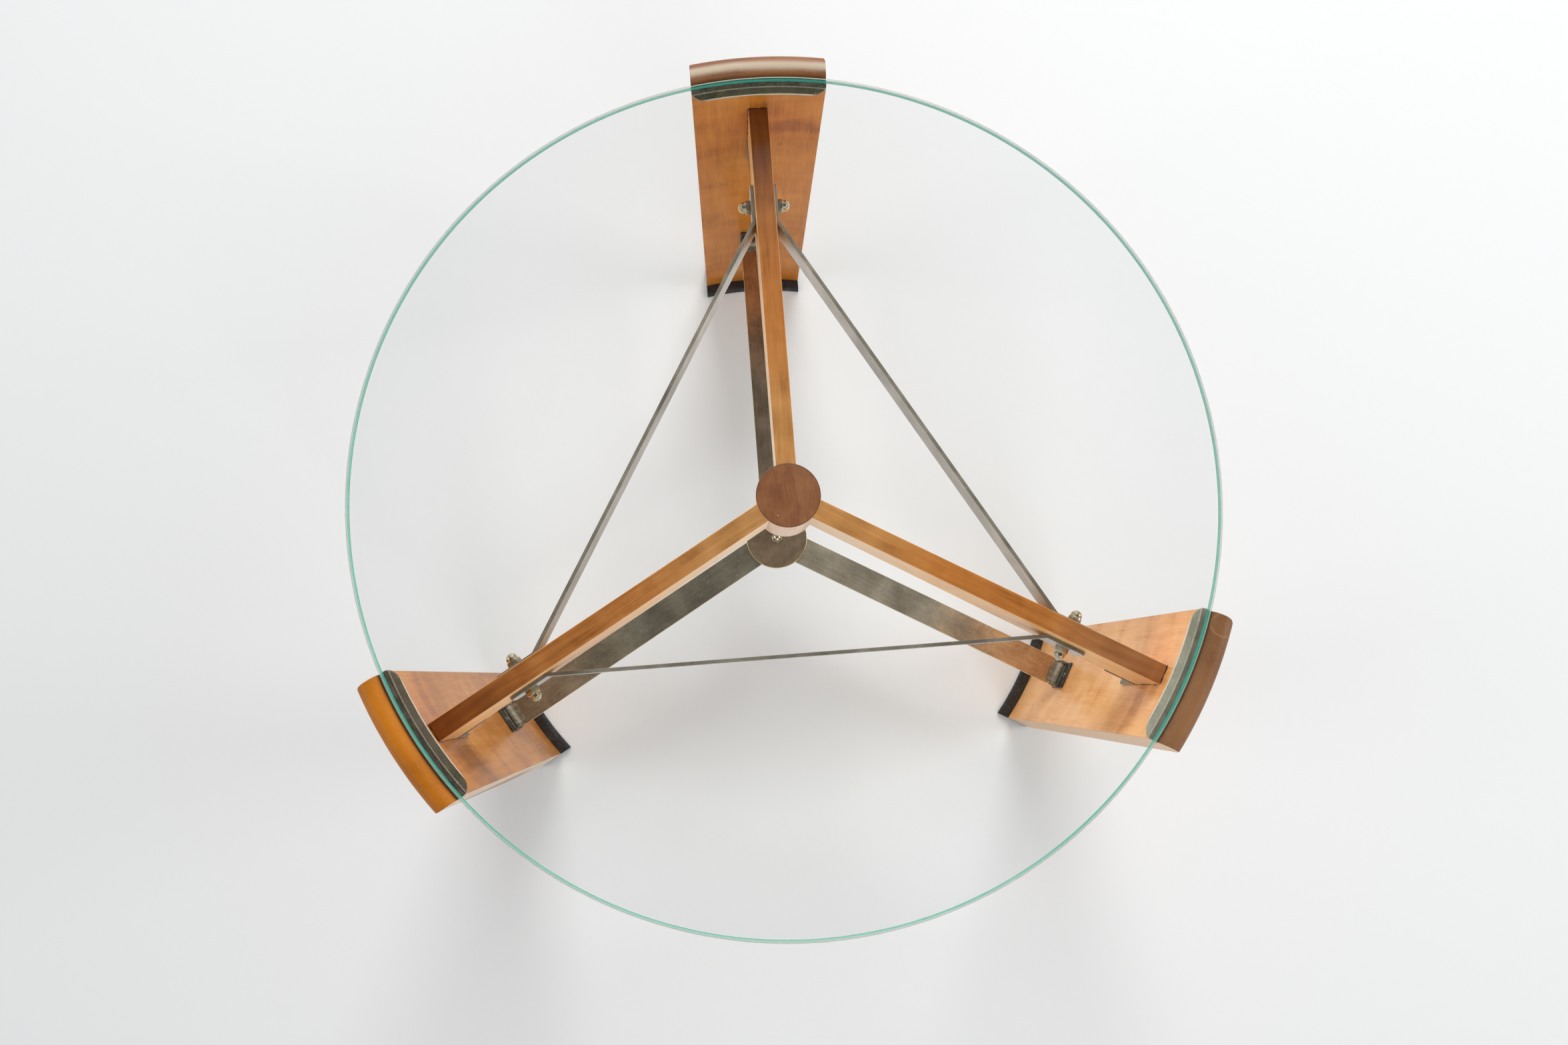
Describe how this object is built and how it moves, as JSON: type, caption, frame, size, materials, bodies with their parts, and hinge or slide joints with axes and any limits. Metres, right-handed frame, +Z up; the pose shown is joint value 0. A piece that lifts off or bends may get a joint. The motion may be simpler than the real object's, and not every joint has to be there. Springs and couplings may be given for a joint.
{
  "type": "round glass table",
  "caption": "Round clear glass table top held between curved wooden slab legs that are braced by wooden struts and flat steel bars.",
  "frame": {"origin": "on the floor, on the axis of the round glass top", "axes": "+Z up along the axis of the glass, +Y from the axis towards leg a, +X to the right when looking along +Y"},
  "size_m": [1.0998, 1.133, 0.752],
  "materials": {
    "glass": "polished clear float glass with a green edge",
    "leg_wood": "clear satin lacquer on honey brown bent wood",
    "strut_wood": "clear satin lacquer, darker brown",
    "hub_wood": "dark satin end grain",
    "black_rubber": "matt black",
    "patina_steel": "dark patinated flat steel, waxed",
    "nickel": "worn nickel plate",
    "screw_steel": "plain steel"
  },
  "bodies": {
    "base": {"hub_block": "hub_wood", "centre_disc_upper": "patina_steel", "centre_disc_lower": "patina_steel", "centre_bolt": "screw_steel", "centre_nut": "nickel", "leg_a": "leg_wood", "leg_b": "leg_wood", "leg_c": "leg_wood", "foot_shoe_a": "black_rubber", "foot_shoe_b": "black_rubber", "foot_shoe_c": "black_rubber", "upper_strut_a": "strut_wood", "upper_strut_b": "strut_wood", "upper_strut_c": "strut_wood", "glass_bracket_a": "patina_steel", "glass_bracket_b": "patina_steel", "glass_bracket_c": "patina_steel", "strut_angle_a": "patina_steel", "strut_angle_b": "patina_steel", "strut_angle_c": "patina_steel", "tie_bar_a": "patina_steel", "tie_bar_b": "patina_steel", "tie_bar_c": "patina_steel", "lower_bar_a": "patina_steel", "lower_bar_b": "patina_steel", "lower_bar_c": "patina_steel", "hinge_leaf_a": "patina_steel", "hinge_leaf_b": "patina_steel", "hinge_leaf_c": "patina_steel", "tie_nut_left_a": "nickel", "tie_nut_left_b": "nickel", "tie_nut_left_c": "nickel", "tie_nut_right_a": "nickel", "tie_nut_right_b": "nickel", "tie_nut_right_c": "nickel", "bracket_screw_left_a": "screw_steel", "bracket_screw_left_b": "screw_steel", "bracket_screw_left_c": "screw_steel", "bracket_screw_right_a": "screw_steel", "bracket_screw_right_b": "screw_steel", "bracket_screw_right_c": "screw_steel", "angle_screw_leg_a": "screw_steel", "angle_screw_leg_b": "screw_steel", "angle_screw_leg_c": "screw_steel", "angle_screw_strut_a": "screw_steel", "angle_screw_strut_b": "screw_steel", "angle_screw_strut_c": "screw_steel", "tie_stud_a": "screw_steel", "tie_stud_b": "screw_steel", "tie_stud_c": "screw_steel", "hinge_pin_a": "screw_steel", "hinge_pin_b": "screw_steel", "hinge_pin_c": "screw_steel", "hinge_screw_lower_a": "screw_steel", "hinge_screw_lower_b": "screw_steel", "hinge_screw_lower_c": "screw_steel", "hinge_screw_upper_a": "screw_steel", "hinge_screw_upper_b": "screw_steel", "hinge_screw_upper_c": "screw_steel"},
    "top": {"glass_top": "glass"}
  },
  "joints": [
    {"name": "top_lift", "type": "slide", "parent": "base", "child": "top", "axis": [0, 0, 1], "range_m": [0, 0.06]}
  ]
}
